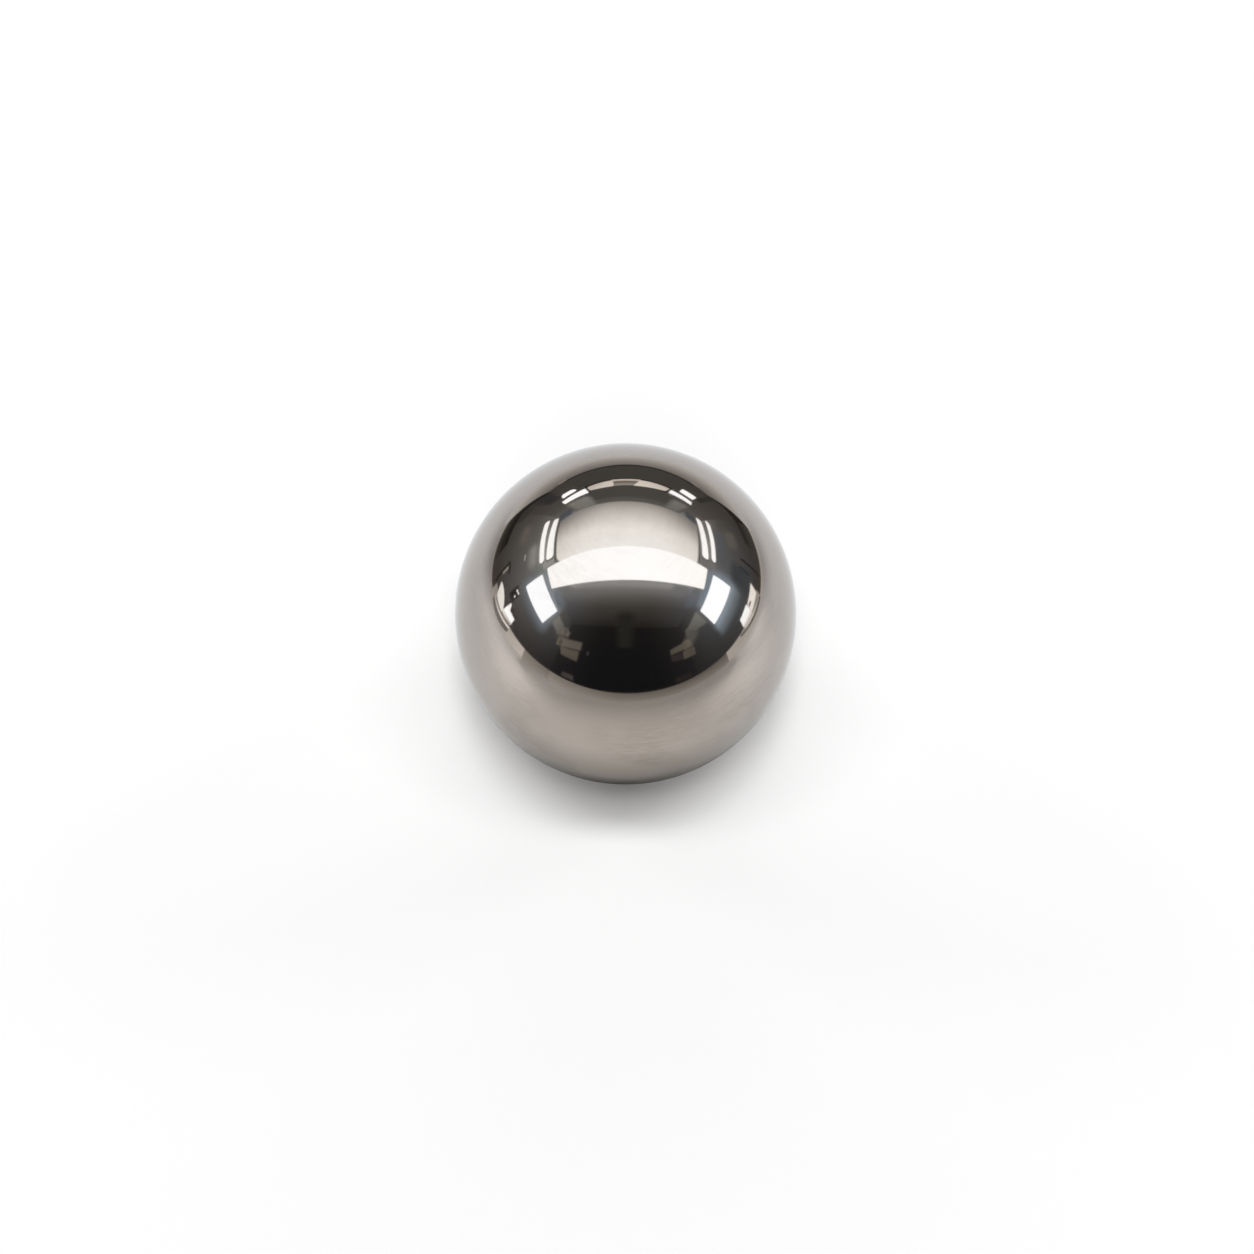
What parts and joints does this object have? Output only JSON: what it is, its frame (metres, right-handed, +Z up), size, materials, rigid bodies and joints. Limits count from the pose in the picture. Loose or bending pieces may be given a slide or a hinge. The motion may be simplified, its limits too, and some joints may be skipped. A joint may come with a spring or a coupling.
{
  "type": "steel ball",
  "caption": "Solid round steel ball with a mirror-polished surface, for rolling, spacing or carrying load in a bearing, detent, valve or cradle.",
  "frame": {"origin": "centre of the ball", "axes": "+Z up, away from the surface that the ball lies on; the ball is the same about every axis through its centre"},
  "size_m": [0.0254, 0.0254, 0.0254],
  "materials": {
    "polished_steel": "polished"
  },
  "bodies": {
    "root": {"ball": "polished_steel"}
  },
  "joints": []
}
